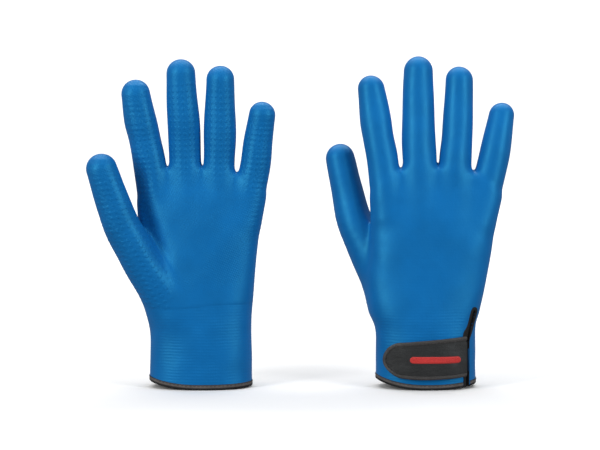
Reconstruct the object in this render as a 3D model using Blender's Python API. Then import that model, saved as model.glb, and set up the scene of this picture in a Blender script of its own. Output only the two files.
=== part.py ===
"""A pair of insulated, fully coated gloves with hook-and-loop wrist straps, standing on their cuffs.

Run with: blender --background --python part.py

Axes: X across the pair, Y from front to back, Z from the cuffs up to the fingertips. The left-hand glove
stands on the left with its palm to the front (-Y), the right-hand glove on the right with its back to the
front. Each glove is one hand form, repeated at several insets: two neighbouring insets make one layer of
the wall. Sizes are in millimetres and become metres where a mesh is made.
"""

import math

import bmesh
import bpy
from mathutils import Matrix, Vector

MM = 0.001
GAP = 0.3  # left between pieces that touch

MIDDLE_Y = 1.6  # puts the origin under the middle of the pair

# ---- Wall build-up, as insets from the outside of the nitrile coat; negative is further out ----
COAT_WALL = 0.8
KNIT_WALL = 0.7
THERMAL_WALL = 1.5
GRIP_WALL = 0.7
KNIT_INSET = COAT_WALL + GAP
THERMAL_INSET = KNIT_INSET + KNIT_WALL + GAP
WALL = THERMAL_INSET + THERMAL_WALL  # the whole wall without the grip coat
TAPE = 0.9  # thickness of the binding tape
TAPE_OUT = -GAP - TAPE
TAPE_IN = WALL + GAP + TAPE

# ---- Cuff, hem and wrist slit ----
CUFF_TOP = 45.0  # the cuff is a straight tube up to here
HEM_HEIGHT = 4.5
HEM_FLOOR = 1.2  # tape under the cuff's raw edge
RAW_EDGE = HEM_FLOOR + GAP  # where the layers of the wall end
GRIP_START = 60.0
GRIP_WRAP = 1.3  # how far the grip coat reaches past the middle of the glove's sides, towards the back
SLIT_X = 32.5  # from the cuff's centre towards the little finger
SLIT_BEND = 40.0  # the slit runs straight up to here, then leans outwards
SLIT_TOP = (38.5, 64.0)
SLIT_HALF_CUT = 1.5  # half the width cut out of the wall
SLIT_HALF_WAY = 0.7  # half the width left open between the bound edges
SLIT_WEB = 0.5  # tape over each raw edge of the slit
SLIT_HALF_TAPE = 2.9
SLIT_FOOT = 0.6

# ---- Strap ----
STRAP_WALL = 1.3
HOOK_WALL = 1.0
LOOP_WALL = 1.0
STRAP_TIP_CENTRE = (-20.6, 23.2)  # centre of the strap's round end
STRAP_TIP_RADIUS = 14.2
STRAP_ROOT_LOW = 9.6
STRAP_ROOT_HIGH = 42.6
STRAP_EDGE = 0.8  # the binding stands this far outside the strap's own edge
STRAP_EDGE_TAPE = 0.4
STRAP_EDGE_LAP = 2.2
LOOP_OUT = -GAP - LOOP_WALL
HOOK_IN = LOOP_OUT - GAP
HOOK_OUT = HOOK_IN - HOOK_WALL
STRAP_IN = HOOK_OUT - GAP
STRAP_OUT = STRAP_IN - STRAP_WALL
ANCHOR_HALF_WEB = 0.4
ANCHOR_LOW, ANCHOR_HIGH = 11.0, 38.5
ANCHOR_TAB_WALL = 1.1
ANCHOR_TAB_WIDTH = 7.0
LOOP_BOX = (-30.0, 13.0, 10.0, 33.4)  # left, low, right, high, as for the next two
LABEL_BOX = (-11.0, 7.0, 11.0, 25.0)
EMBLEM_BOX = (-14.0, 22.2, 27.5, 28.0)
EMBLEM_WALL = 0.4
LABEL_WALL = 0.5
HINGE_X = SLIT_X - ANCHOR_HALF_WEB - GAP
THREAD = 0.3  # radius of the sewing thread
HEM_SEAM = 3.3  # height of the hem's stitching
HEM_SEAM_ENDS = (38.4, 366.8)  # degrees round the cuff, clear of the slit
STRAP_SEAM = 1.4  # from the strap's edge to its stitching

# ---- Facets ----
HAND_SIDES = 20
HAND_SQUARENESS = 2.3  # exponent of the superellipse
DIGIT_SIDES = 8
ROUND_STEPS = (50.0,)  # degrees from the last ring to the fingertip's pole
ARC_STEPS = 8

# Rows of the hand: height, left edge, right edge, half depth.
# Digits: across, up, towards the palm, radius, from the hand out to the fingertip.
LEFT = {
    "name": "left",
    "centre": -81.1,
    "palm": -1,
    "rows": [
        (CUFF_TOP, -41.0, 41.0, 26.0),
        (62.0, -42.0, 41.5, 24.5),
        (85.0, -45.5, 44.0, 22.5),
        (110.0, -48.0, 46.5, 21.0),
        (135.0, -49.5, 49.7, 19.5),
        (160.0, -51.0, 53.4, 16.5),
        (175.0, -50.0, 53.5, 11.5),
    ],
    "digits": {
        "thumb": [
            (-27.0, 68.0, 8.0, 17.5),
            (-41.0, 92.0, 13.0, 18.0),
            (-53.5, 115.0, 17.0, 17.0),
            (-66.0, 141.0, 22.0, 14.8),
            (-80.6, 177.5, 27.0, 13.1),
        ],
        "index": [(-37.5, 140.0, 1.0, 13.0), (-42.5, 180.0, 1.0, 13.2), (-53.3, 233.5, 6.0, 12.3)],
        "middle": [(-12.0, 140.0, 1.0, 13.0), (-12.6, 180.0, 1.0, 13.2), (-15.6, 251.5, 8.0, 12.3)],
        "ring": [(15.0, 140.0, 1.0, 13.0), (15.8, 180.0, 2.0, 12.9), (16.4, 247.5, 8.0, 11.9)],
        "little": [(38.0, 140.0, 2.0, 12.5), (43.6, 172.0, 3.0, 12.5), (50.6, 220.6, 9.0, 11.0)],
    },
}
RIGHT = {
    "name": "right",
    "centre": 102.9,
    "palm": 1,
    "rows": [
        (CUFF_TOP, -40.0, 40.0, 26.0),
        (62.0, -44.0, 43.5, 24.5),
        (85.0, -47.0, 48.0, 22.5),
        (110.0, -46.0, 53.0, 21.0),
        (135.0, -46.0, 57.5, 19.5),
        (162.0, -47.0, 62.0, 17.0),
        (177.0, -46.0, 62.0, 12.0),
    ],
    "digits": {
        "thumb": [
            (-28.0, 73.0, 7.0, 17.5),
            (-42.0, 103.0, 13.0, 18.0),
            (-55.5, 131.0, 18.0, 16.2),
            (-63.0, 159.0, 22.0, 14.2),
            (-69.1, 187.0, 25.0, 12.5),
        ],
        "index": [(-30.5, 140.0, 1.0, 13.0), (-35.6, 183.0, 1.0, 12.9), (-44.3, 242.0, 6.0, 11.9)],
        "middle": [(-5.0, 140.0, 1.0, 13.4), (-5.2, 183.0, 1.0, 13.6), (-6.2, 257.0, 8.0, 12.7)],
        "ring": [(22.5, 140.0, 1.0, 13.0), (24.2, 183.0, 2.0, 12.7), (27.5, 250.0, 8.0, 11.6)],
        "little": [(45.0, 140.0, 2.0, 12.5), (52.6, 176.0, 3.0, 12.4), (61.4, 220.2, 9.0, 10.8)],
    },
}

# name: base colour, roughness
MATERIALS = {
    "nitrile": ((0.012, 0.13, 0.40), 0.55),
    "grip_nitrile": ((0.010, 0.12, 0.37), 0.6),
    "knit": ((0.05, 0.12, 0.30), 0.9),
    "thermal_pile": ((0.10, 0.11, 0.13), 0.95),
    "binding_tape": ((0.035, 0.037, 0.04), 0.7),
    "strap_leather": ((0.03, 0.032, 0.035), 0.6),
    "hook_and_loop": ((0.02, 0.02, 0.022), 0.9),
    "thread": ((0.02, 0.02, 0.022), 0.8),
    "red_thread": ((0.55, 0.03, 0.025), 0.6),
    "label": ((0.75, 0.75, 0.73), 0.8),
}


def clear_scene():
    for obj in list(bpy.data.objects):
        bpy.data.objects.remove(obj)


def make_materials():
    made = {}
    for name, (colour, roughness) in MATERIALS.items():
        material = bpy.data.materials.new(name)
        material.use_nodes = True
        shader = material.node_tree.nodes["Principled BSDF"]
        shader.inputs["Base Color"].default_value = (*colour, 1.0)
        shader.inputs["Roughness"].default_value = roughness
        made[name] = material
    return made


def object_from(points, faces):
    """A mesh object from points in millimetres and faces as lists of point numbers, facing outwards."""
    mesh = bpy.data.meshes.new("piece")
    mesh.from_pydata([Vector(p) * MM for p in points], [], faces)
    edit = bmesh.new()
    edit.from_mesh(mesh)
    bmesh.ops.recalc_face_normals(edit, faces=edit.faces)
    edit.to_mesh(mesh)
    edit.free()
    obj = bpy.data.objects.new("piece", mesh)
    bpy.context.scene.collection.objects.link(obj)
    return obj


def loft(rings, closed=False, pole=None):
    """Skins rings of equal length with triangles, all cut along the same diagonal so that insets stay
    parallel. Open lofts get flat ends, or a pole at the far end."""
    sides = len(rings[0])
    points = [p for ring in rings for p in ring]
    spans = len(rings) if closed else len(rings) - 1
    faces = []
    for span in range(spans):
        near, far = span * sides, (span + 1) % len(rings) * sides
        for side in range(sides):
            beyond = (side + 1) % sides
            faces.append([near + side, near + beyond, far + beyond])
            faces.append([near + side, far + beyond, far + side])
    if not closed:
        faces.append(list(range(sides)))
        last = (len(rings) - 1) * sides
        if pole is None:
            faces.append(list(range(last, last + sides)))
        else:
            points.append(pole)
            faces += [[last + s, last + (s + 1) % sides, len(points) - 1] for s in range(sides)]
    return object_from(points, faces)


def combine(target, other, operation):
    """Applies a Boolean to target and removes the other object."""
    modifier = target.modifiers.new(operation.title(), "BOOLEAN")
    modifier.operation = operation
    modifier.object = other
    graph = bpy.context.evaluated_depsgraph_get()
    result = bpy.data.meshes.new_from_object(target.evaluated_get(graph))
    target.modifiers.clear()
    target.data = result
    bpy.data.objects.remove(other)
    return target


def superellipse(turn, exponent=HAND_SQUARENESS):
    """A point of the unit superellipse at an angle in radians."""
    c, s = math.cos(turn), math.sin(turn)
    power = 2 / exponent
    return math.copysign(abs(c) ** power, c), math.copysign(abs(s) ** power, s)


def hand_ring(row, inset, height=None):
    """The hand's outline at one row, drawn in by the inset."""
    level, left, right, depth = row
    middle, half = (left + right) / 2, (right - left) / 2 - inset
    ring = []
    for side in range(HAND_SIDES):
        across, deep = superellipse(math.tau * side / HAND_SIDES)
        ring.append((middle + half * across, (depth - inset) * deep, level if height is None else height))
    return ring


def hand_tube(glove, inset, foot, rows):
    """The cuff and hand, from the foot up, through that many rows."""
    used = glove["rows"][:rows]
    rings = [hand_ring(used[0], inset, foot)] + [hand_ring(row, inset) for row in used[:-1]]
    top = used[-1]
    return loft([*rings, hand_ring(top, inset, top[0] - inset)])


def digit_ring(centre, along, radius):
    """A ring of points round a digit's centreline."""
    side = along.cross(Vector((0, 1, 0))).normalized()
    front = side.cross(along).normalized()
    turns = [math.tau * (k + 0.5) / DIGIT_SIDES for k in range(DIGIT_SIDES)]
    return [centre + radius * (math.cos(t) * side + math.sin(t) * front) for t in turns]


def digit_tube(glove, stations, inset):
    """A tapered finger: rings square to its centreline, then a round tip. Its root lies inside the hand."""
    centres = [Vector((x, palmward * glove["palm"], z)) for x, z, palmward, _ in stations]
    radii = [radius - inset for *_, radius in stations]
    rings = []
    for k, (centre, radius) in enumerate(zip(centres, radii)):
        before, after = centres[max(k - 1, 0)], centres[min(k + 1, len(centres) - 1)]
        along = (after - before).normalized()
        if k == 0:
            rings.append(digit_ring(centre - along * radius * 0.7, along, radius * 0.7))
        rings.append(digit_ring(centre, along, radius))
    for degrees in ROUND_STEPS:
        angle = math.radians(degrees)
        rings.append(digit_ring(centre + along * radius * math.sin(angle), along, radius * math.cos(angle)))
    return loft(rings, pole=centre + along * radius)


def hand_form(glove, inset, foot):
    """The whole hand as one solid, drawn in by the inset, with its cuff ending at the foot."""
    form = hand_tube(glove, inset, foot, len(glove["rows"]))
    for stations in glove["digits"].values():
        combine(form, digit_tube(glove, stations, inset), "UNION")
    return form


def prism(outline, near, far):
    """An outline in X and Z, carried along Y."""
    return loft([[(x, y, z) for x, z in outline] for y in (near, far)])


def on_the_back(glove, outline):
    """A prism through the back half of a glove."""
    reach = 60.0 * -glove["palm"]
    return prism(outline, 0.0, reach)


def box_outline(left, low, right, high):
    return [(left, low), (right, low), (right, high), (left, high)]


def slit_outline(grow, foot):
    """The wrist slit, drawn out by grow on each side of its centreline, with a pointed arch at its top."""
    top_x, top_z = SLIT_TOP
    lean = Vector((top_x - SLIT_X, top_z - SLIT_BEND)).normalized()
    bend_shift = grow * math.tan(math.atan2(lean.x, lean.y) / 2)
    side = Vector((lean.y, -lean.x)) * grow
    tip = Vector((top_x, top_z)) + lean * grow
    return [
        (SLIT_X - grow, foot),
        (SLIT_X + grow, foot),
        (SLIT_X + grow, SLIT_BEND - bend_shift),
        (top_x + side.x, top_z + side.y),
        (tip.x, tip.y),
        (top_x - side.x, top_z - side.y),
        (SLIT_X - grow, SLIT_BEND + bend_shift),
    ]


def strap_outline(grow, root):
    """The strap as it lies, cut straight across at X = root: two straight sides and a round end."""
    centre_x, centre_z = STRAP_TIP_CENTRE
    radius = STRAP_TIP_RADIUS - STRAP_EDGE + grow
    arc = []
    for step in range(ARC_STEPS + 1):
        turn = math.radians(95 + 170 * step / ARC_STEPS)
        arc.append((centre_x + radius * math.cos(turn), centre_z + radius * math.sin(turn)))
    low, high = STRAP_ROOT_LOW + STRAP_EDGE - grow, STRAP_ROOT_HIGH - STRAP_EDGE + grow
    ends = []
    for (end_x, end_z), corner in ((arc[0], high), (arc[-1], low)):
        share = (root - end_x) / (HINGE_X - end_x)
        ends.append((root, end_z + share * (corner - end_z)))
    return [ends[0], *arc, ends[1]]


def cuff_shell(glove, outer, inner, outline):
    """A layer of the cuff's wall between two insets, cut to an outline on the back of the wrist."""
    piece = hand_tube(glove, outer, -10.0, 4)
    combine(piece, hand_tube(glove, inner, -20.0, 5), "DIFFERENCE")
    return combine(piece, on_the_back(glove, outline), "INTERSECT")


def wall_layer(glove, outer, inner, foot):
    """One glove-shaped layer, open at the cuff and slit at the wrist."""
    piece = hand_form(glove, outer, foot)
    combine(piece, hand_form(glove, inner, foot - 10.0), "DIFFERENCE")
    return combine(piece, on_the_back(glove, slit_outline(SLIT_HALF_CUT, -20.0)), "DIFFERENCE")


def grip_coat(glove):
    """The second dip: a thin coat over the palm and round the sides of the fingers."""
    piece = hand_form(glove, -GAP - GRIP_WALL, 0.0)
    combine(piece, hand_form(glove, -GAP, -10.0), "DIFFERENCE")
    palm = glove["palm"]
    half_space = prism(box_outline(-150.0, GRIP_START, 150.0, 400.0), -GRIP_WRAP * palm, 80.0 * palm)
    return combine(piece, half_space, "INTERSECT")


def hem_binding(glove):
    """Tape folded over the cuff's raw edge: a channel that runs round the cuff and stops at the slit."""
    profile = [
        (TAPE_OUT, HEM_HEIGHT),
        (TAPE_OUT, 0.0),
        (TAPE_IN, 0.0),
        (TAPE_IN, HEM_HEIGHT),
        (WALL + GAP, HEM_HEIGHT),
        (WALL + GAP, HEM_FLOOR),
        (-GAP, HEM_FLOOR),
        (-GAP, HEM_HEIGHT),
    ]
    piece = loft([hand_ring(glove["rows"][0], inset, z) for inset, z in profile], closed=True)
    gap_outline = slit_outline(SLIT_HALF_TAPE + GAP, -20.0)
    return combine(piece, on_the_back(glove, gap_outline), "DIFFERENCE")


def slit_binding(glove):
    """Tape over both edges of the slit and its top, with a way left open between them."""
    piece = cuff_shell(glove, TAPE_OUT, TAPE_IN, slit_outline(SLIT_HALF_TAPE, SLIT_FOOT))
    slot = cuff_shell(glove, -GAP, WALL + GAP, slit_outline(SLIT_HALF_TAPE + 1.0, -5.0))
    core = slit_outline(SLIT_HALF_WAY + SLIT_WEB, -30.0)
    combine(slot, on_the_back(glove, core), "DIFFERENCE")
    combine(piece, slot, "DIFFERENCE")
    return combine(piece, on_the_back(glove, slit_outline(SLIT_HALF_WAY, -30.0)), "DIFFERENCE")


def strap_anchor(glove):
    """The strap's sewn root: a tab inside the cuff and a web that comes out through the slit."""
    left, right = SLIT_X - ANCHOR_HALF_WEB, SLIT_X + ANCHOR_HALF_WEB
    tab_in = TAPE_IN + GAP + ANCHOR_TAB_WALL
    web = cuff_shell(glove, STRAP_OUT, tab_in, box_outline(left, ANCHOR_LOW, right, ANCHOR_HIGH))
    tab_outline = box_outline(left, ANCHOR_LOW, SLIT_X + ANCHOR_TAB_WIDTH, ANCHOR_HIGH)
    tab = cuff_shell(glove, TAPE_IN + GAP, tab_in, tab_outline)
    return combine(web, tab, "UNION")


def strap(glove):
    return cuff_shell(glove, STRAP_OUT, STRAP_IN, strap_outline(0.0, HINGE_X))


def strap_binding(glove):
    """Tape folded over the strap's edge, open at the root."""
    out, inside = STRAP_OUT - GAP - STRAP_EDGE_TAPE, STRAP_IN + GAP + STRAP_EDGE_TAPE
    root = HINGE_X - 1.5
    piece = cuff_shell(glove, out, inside, strap_outline(STRAP_EDGE, root))
    slot = cuff_shell(glove, STRAP_OUT - GAP, STRAP_IN + GAP, strap_outline(GAP, root + 3.0))
    combine(piece, slot, "DIFFERENCE")
    return combine(piece, on_the_back(glove, strap_outline(-STRAP_EDGE_LAP, root + 4.0)), "DIFFERENCE")


def hook_tape(glove):
    """Hook half of the fastening, sewn under the strap's free end."""
    return cuff_shell(glove, HOOK_OUT, HOOK_IN, strap_outline(-STRAP_EDGE_LAP - 1.0, -2.0))


def loop_patch(glove):
    """Loop half of the fastening, sewn to the back of the cuff."""
    return cuff_shell(glove, LOOP_OUT, -GAP, box_outline(*LOOP_BOX))


def size_label(glove):
    """A plain woven label sewn inside the cuff, on the palm side."""
    turned = {**glove, "palm": -glove["palm"]}
    return cuff_shell(turned, WALL + GAP, WALL + GAP + LABEL_WALL, box_outline(*LABEL_BOX))


def strap_emblem(glove):
    """A plain embroidered bar on the strap."""
    return cuff_shell(glove, STRAP_OUT - GAP - EMBLEM_WALL, STRAP_OUT - GAP, box_outline(*EMBLEM_BOX))


def cuff_point(glove, x, z, inset):
    """A point on the back of the cuff at a given inset."""
    _, left, right, depth = glove["rows"][0]
    across = abs(x / ((right - left) / 2 - inset))
    deep = (1 - across**HAND_SQUARENESS) ** (1 / HAND_SQUARENESS)
    return Vector((x, -glove["palm"] * (depth - inset) * deep, z))


def thread_along(points):
    """A round sewing thread along a list of points, with closed ends."""
    curve = bpy.data.curves.new("thread", "CURVE")
    curve.dimensions = "3D"
    curve.bevel_depth = THREAD * MM
    curve.bevel_resolution = 0
    curve.use_fill_caps = True
    spline = curve.splines.new("POLY")
    spline.points.add(len(points) - 1)
    for place, point in zip(spline.points, points):
        place.co = (*(Vector(point) * MM), 1.0)
    obj = bpy.data.objects.new("thread", curve)
    bpy.context.scene.collection.objects.link(obj)
    graph = bpy.context.evaluated_depsgraph_get()
    mesh = bpy.data.meshes.new_from_object(obj.evaluated_get(graph))
    bpy.data.objects.remove(obj)
    piece = bpy.data.objects.new("piece", mesh)
    bpy.context.scene.collection.objects.link(piece)
    return piece


def hem_stitching(glove):
    """Thread round the hem binding, from one side of the slit to the other."""
    inset = TAPE_OUT - THREAD - GAP
    _, left, right, depth = glove["rows"][0]
    half = (right - left) / 2 - inset
    start, end = HEM_SEAM_ENDS
    steps = 2 * HAND_SIDES
    points = []
    for step in range(steps + 1):
        across, deep = superellipse(math.radians(start + (end - start) * step / steps))
        points.append((half * across, -glove["palm"] * (depth - inset) * deep, HEM_SEAM))
    return thread_along(points)


def strap_stitching(glove):
    """Thread that holds the strap's binding, just inside its edge."""
    inset = STRAP_OUT - GAP - STRAP_EDGE_TAPE - THREAD - GAP
    corners = strap_outline(-STRAP_SEAM, HINGE_X - 4.0)
    points = []
    for (x0, z0), (x1, z1) in zip(corners, corners[1:]):
        steps = max(1, round(abs(x1 - x0) / 8.0))
        points += [(x0 + (x1 - x0) * k / steps, z0 + (z1 - z0) * k / steps) for k in range(steps)]
    points.append(corners[-1])
    return thread_along([cuff_point(glove, x, z, inset) for x, z in points])


def finish(obj, name, material, parent, origin):
    """Names a piece, gives it its finish and hangs it on its parent with its origin at a given point."""
    obj.name = obj.data.name = name
    obj.data.materials.clear()
    obj.data.materials.append(material)
    obj.data.shade_smooth()
    obj.data.set_sharp_from_angle(angle=math.radians(40))
    obj.data.transform(Matrix.Translation(-origin * MM))
    obj.parent = parent


def empty_at(name, location, parent=None):
    empty = bpy.data.objects.new(name, None)
    bpy.context.scene.collection.objects.link(empty)
    empty.location = location * MM
    empty.parent = parent
    return empty


def build_glove(glove, materials):
    name = glove["name"]
    frame = empty_at(f"{name}_frame", Vector((glove["centre"], MIDDLE_Y, 0)))
    hinge = cuff_point(glove, HINGE_X, 0.0, STRAP_OUT)
    hinge_frame = empty_at(f"{name}_strap_hinge", hinge, frame)
    still = {
        "nitrile_coat": (wall_layer(glove, 0.0, COAT_WALL, RAW_EDGE), "nitrile"),
        "grip_coat": (grip_coat(glove), "grip_nitrile"),
        "knit_carrier": (wall_layer(glove, KNIT_INSET, KNIT_INSET + KNIT_WALL, RAW_EDGE), "knit"),
        "thermal_liner": (wall_layer(glove, THERMAL_INSET, WALL, RAW_EDGE), "thermal_pile"),
        "hem_binding": (hem_binding(glove), "binding_tape"),
        "hem_stitching": (hem_stitching(glove), "thread"),
        "slit_binding": (slit_binding(glove), "binding_tape"),
        "loop_patch": (loop_patch(glove), "hook_and_loop"),
        "strap_anchor": (strap_anchor(glove), "strap_leather"),
        "size_label": (size_label(glove), "label"),
    }
    moving = {
        "strap": (strap(glove), "strap_leather"),
        "strap_binding": (strap_binding(glove), "binding_tape"),
        "strap_stitching": (strap_stitching(glove), "thread"),
        "hook_tape": (hook_tape(glove), "hook_and_loop"),
        "strap_emblem": (strap_emblem(glove), "red_thread"),
    }
    for piece, (obj, finish_name) in still.items():
        finish(obj, f"{name}_{piece}", materials[finish_name], frame, Vector())
    for piece, (obj, finish_name) in moving.items():
        finish(obj, f"{name}_{piece}", materials[finish_name], hinge_frame, hinge)


def main():
    clear_scene()
    materials = make_materials()
    for glove in (LEFT, RIGHT):
        build_glove(glove, materials)


main()
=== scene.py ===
import math

import bmesh
import bpy
import numpy as np
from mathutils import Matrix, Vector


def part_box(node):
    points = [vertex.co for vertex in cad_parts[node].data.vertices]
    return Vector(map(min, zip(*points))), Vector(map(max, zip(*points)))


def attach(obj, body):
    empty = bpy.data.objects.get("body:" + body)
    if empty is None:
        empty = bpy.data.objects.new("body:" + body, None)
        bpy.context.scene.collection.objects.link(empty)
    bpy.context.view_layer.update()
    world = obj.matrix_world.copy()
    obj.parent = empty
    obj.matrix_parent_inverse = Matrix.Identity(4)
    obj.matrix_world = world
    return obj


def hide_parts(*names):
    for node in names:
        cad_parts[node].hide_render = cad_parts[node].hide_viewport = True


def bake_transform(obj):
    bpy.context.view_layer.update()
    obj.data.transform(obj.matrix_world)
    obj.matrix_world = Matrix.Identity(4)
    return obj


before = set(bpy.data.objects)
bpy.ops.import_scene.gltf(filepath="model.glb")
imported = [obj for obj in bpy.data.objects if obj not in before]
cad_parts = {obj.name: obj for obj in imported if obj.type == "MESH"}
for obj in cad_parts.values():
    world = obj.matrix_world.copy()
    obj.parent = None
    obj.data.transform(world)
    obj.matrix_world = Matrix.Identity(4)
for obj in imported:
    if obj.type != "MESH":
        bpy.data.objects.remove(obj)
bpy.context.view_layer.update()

bl_info = {
    "name": "Insulated Glove Pair",
    "version": (1, 0, 0),
    "blender": (4, 5, 0),
    "location": "View3D > Sidebar > Gloves",
    "description": "Makes the surfaces and finishes of a pair of insulated, coated gloves round their solids",
    "category": "Add Mesh",
}

MM = 0.001
NO_PLACE = 1e3  # a field value far outside everything, in mm

# Shapes are in millimetres, in each glove's own frame: x from the thumb side to the little finger, p towards
# the palm, z up from the floor. Depths are measured from the middle plane of the hand.
CUFF_TOP = 45.0  # the cuff is a straight tube up to here
RAW_EDGE = 1.5  # where the layers end inside the hem tape
SLIT_X, SLIT_BEND, SLIT_TOP_X, SLIT_TOP_Z = 32.5, 40.0, 38.5, 64.0
SLIT_HALF_CUT = 1.5
HINGE_X = 31.8
STRAP_TIP = (-20.4, 23.8)
STRAP_TIP_RADIUS = 15.0
STRAP_ROOT = (9.6, 43.4)  # heights of its corners
KNIT_INSET, THERMAL_INSET = 1.1, 2.1
HEM_HEIGHT = 4.5
TAPE_OUT, TAPE_IN, TAPE_LIP = 1.2, 4.8, 3.9  # off the cuff's outer face
OUTLINE_STEP, SLIT_STEP = 0.5, 0.7
STRAP_LIFT = 3.45  # from the cuff to the strap's middle layer
STRAP_INSET = 0.9  # from the strap's edge to its leather
EMBLEM_LEFT, EMBLEM_RIGHT, EMBLEM_HEIGHT, EMBLEM_HALF = -14.0, 27.5, 25.1, 2.75
LOOP_LEFT, LOOP_RIGHT, LOOP_LOW, LOOP_HIGH = -30.0, 10.0, 13.0, 33.4
LABEL_DEPTH, LABEL_WALL = 4.15, 0.35
GRIP_WALL = 0.5

HANDS = {
    "left": {
        "palm": -1,
        # height, thumb edge, little finger edge, depth to the palm, depth to the back
        "rows": [
            (0, -41, 41, 26, 26), (CUFF_TOP, -40.5, 40.8, 25.5, 26), (62, -41.5, 41, 24.5, 24.5),
            (85, -44, 43, 23, 22), (110, -47, 45.2, 21.5, 20.5), (135, -49, 48.3, 19, 18),
            (155, -50, 51.3, 15, 14.5), (168, -51, 53.4, 11, 11),
            (182, -50, 54, 8, 8), (195, -50, 54, 7, 7),
        ],
        "webs": [(-60, 142), (-26.6, 177.5), (1, 178), (29.7, 174), (60, 152)],  # x, height
        "bow": (5, 1),  # how far the hem rises at the thumb's side and at the little finger's
        "thumb": [
            (-24, 66, 8, 16), (-38, 91, 13, 16.8), (-51.5, 114, 17, 16.3),
            (-65, 140, 22, 14.2), (-78.7, 180, 27, 11.7),
        ],
        "fingers": [
            [
                (-36.5, 140, 1, 12), (-41, 180, 1, 12.6), (-45.1, 202, 2, 12.1),
                (-48.4, 218, 4, 12.3), (-52.1, 239.4, 6, 10.9),
            ],
            [
                (-11.5, 140, 1, 12.2), (-12.2, 183, 1, 12.2), (-12.8, 203, 2, 12.5),
                (-13.6, 222, 5, 12.2), (-15.4, 255.9, 8, 11),
            ],
            [
                (14.5, 140, 1, 12), (15.5, 183, 2, 12), (15.9, 203, 3, 12.4),
                (16.3, 222, 5, 11.9), (16.4, 251.1, 8, 10.5),
            ],
            [(35, 136, 2, 11.8), (43.8, 176, 3, 11.8), (46.8, 200, 5, 11), (50.3, 222.6, 9, 9.9)],
        ],
    },
    "right": {
        "palm": 1,
        "rows": [
            (0, -40, 40, 26, 26), (CUFF_TOP, -40.3, 39.5, 26, 25.5), (62, -44, 43, 24.5, 24.5),
            (85, -46, 47.8, 23, 22), (110, -45, 52, 21.5, 20.5), (135, -44.5, 56, 19, 18),
            (155, -44, 59.6, 15, 14.5), (168, -44, 62.3, 11, 11),
            (182, -44, 62, 8, 8), (195, -44, 62, 7, 7),
        ],
        "webs": [(-60, 142), (-21, 177), (8.8, 178.5), (38.9, 174.5), (66, 152)],
        "bow": (7, 3),
        "thumb": [
            (-28, 73, 7, 17), (-41.5, 103, 13, 17.5), (-55, 131, 18, 15.6),
            (-62.5, 157, 22, 13.6), (-69.7, 185.2, 25, 11.1),
        ],
        "fingers": [
            [
                (-30.5, 140, -2.5, 12), (-35.6, 183, 0, 12), (-39, 203, 2, 11.7),
                (-41.4, 219, 4, 12), (-44.8, 243, 6, 10.1),
            ],
            [
                (-5, 140, -3, 12.4), (-5.4, 183, 0, 12.9), (-6.1, 204, 2, 13),
                (-6.5, 224, 5, 12.4), (-6.4, 257.4, 8, 11.1),
            ],
            [
                (22, 140, -2.5, 12), (23.6, 183, 0.6, 12.4), (25, 203, 3, 11.8),
                (25.8, 220, 5, 11.5), (26.8, 250, 8, 10.3),
            ],
            [(42.5, 136, -1, 11.8), (53.5, 181, 2, 11.7), (58, 202, 5, 11), (61.4, 221.1, 9, 9.7)],
        ],
    },
}
CURVE_SAMPLES = 18
FINGER_FILLET, PALM_FILLET = 1.6, 8.0
THUMB_FILLETS = ((60, 105, 142), (20.0, 10.0, 3.0))  # heights, and the fillet at each
CREASE = ((85, 110, 142, 190), (-21, -31, -43, -52))  # heights, and the groove's x at each
CUFF_POWER, PALM_POWER = 2.3, 2.6  # of the superellipses
AROUND_RADIUS = 12.5  # turns an angle round a digit into millimetres
FINGER_FLATNESS = 0.95  # depth of a finger over its width
GRID_LOW, GRID_HIGH = (-102.0, -34.0, -3.0), (80.0, 46.0, 276.0)


# ---------------------------------------------------------------- the hand, as a field of distances


def smooth_least(a, b, fillet):
    """The lesser of two fields with a round fillet: min(a, b) - f h^3 / 6, h = max(1 - |a - b| / f, 0)."""
    h = np.maximum(1 - np.abs(a - b) / fillet, 0)
    return np.minimum(a, b) - fillet * h**3 / 6


def smooth_step(x, low, high):
    """0 below low, 1 above high and 3t^2 - 2t^3 between them."""
    t = np.clip((x - low) / (high - low), 0, 1)
    return t * t * (3 - 2 * t)


def through(stations, samples):
    """Points of the Catmull-Rom curve through the stations: cubics with tangents (next - last) / 2."""
    s = np.asarray(stations, float)
    ends = np.vstack([2 * s[0] - s[1], s, 2 * s[-1] - s[-2]])
    t = np.linspace(0, len(s) - 1, samples)
    k = np.minimum(t.astype(int), len(s) - 2)
    f = (t - k)[:, None]
    a, b, c, d = ends[k], ends[k + 1], ends[k + 2], ends[k + 3]
    bend, twist = 2 * a - 5 * b + 4 * c - d, 3 * b - 3 * c + d - a
    return 0.5 * (2 * b + (c - a) * f + bend * f**2 + twist * f**3)


def digit_curve(stations):
    """Rows of x, p, z, radius and distance from the root along a digit's centreline."""
    x, z, p, r = through(stations, CURVE_SAMPLES).T
    steps = np.sqrt(np.diff(x) ** 2 + np.diff(p) ** 2 + np.diff(z) ** 2)
    return np.column_stack([x, p, z, r, np.concatenate([[0], np.cumsum(steps)])])


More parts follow.
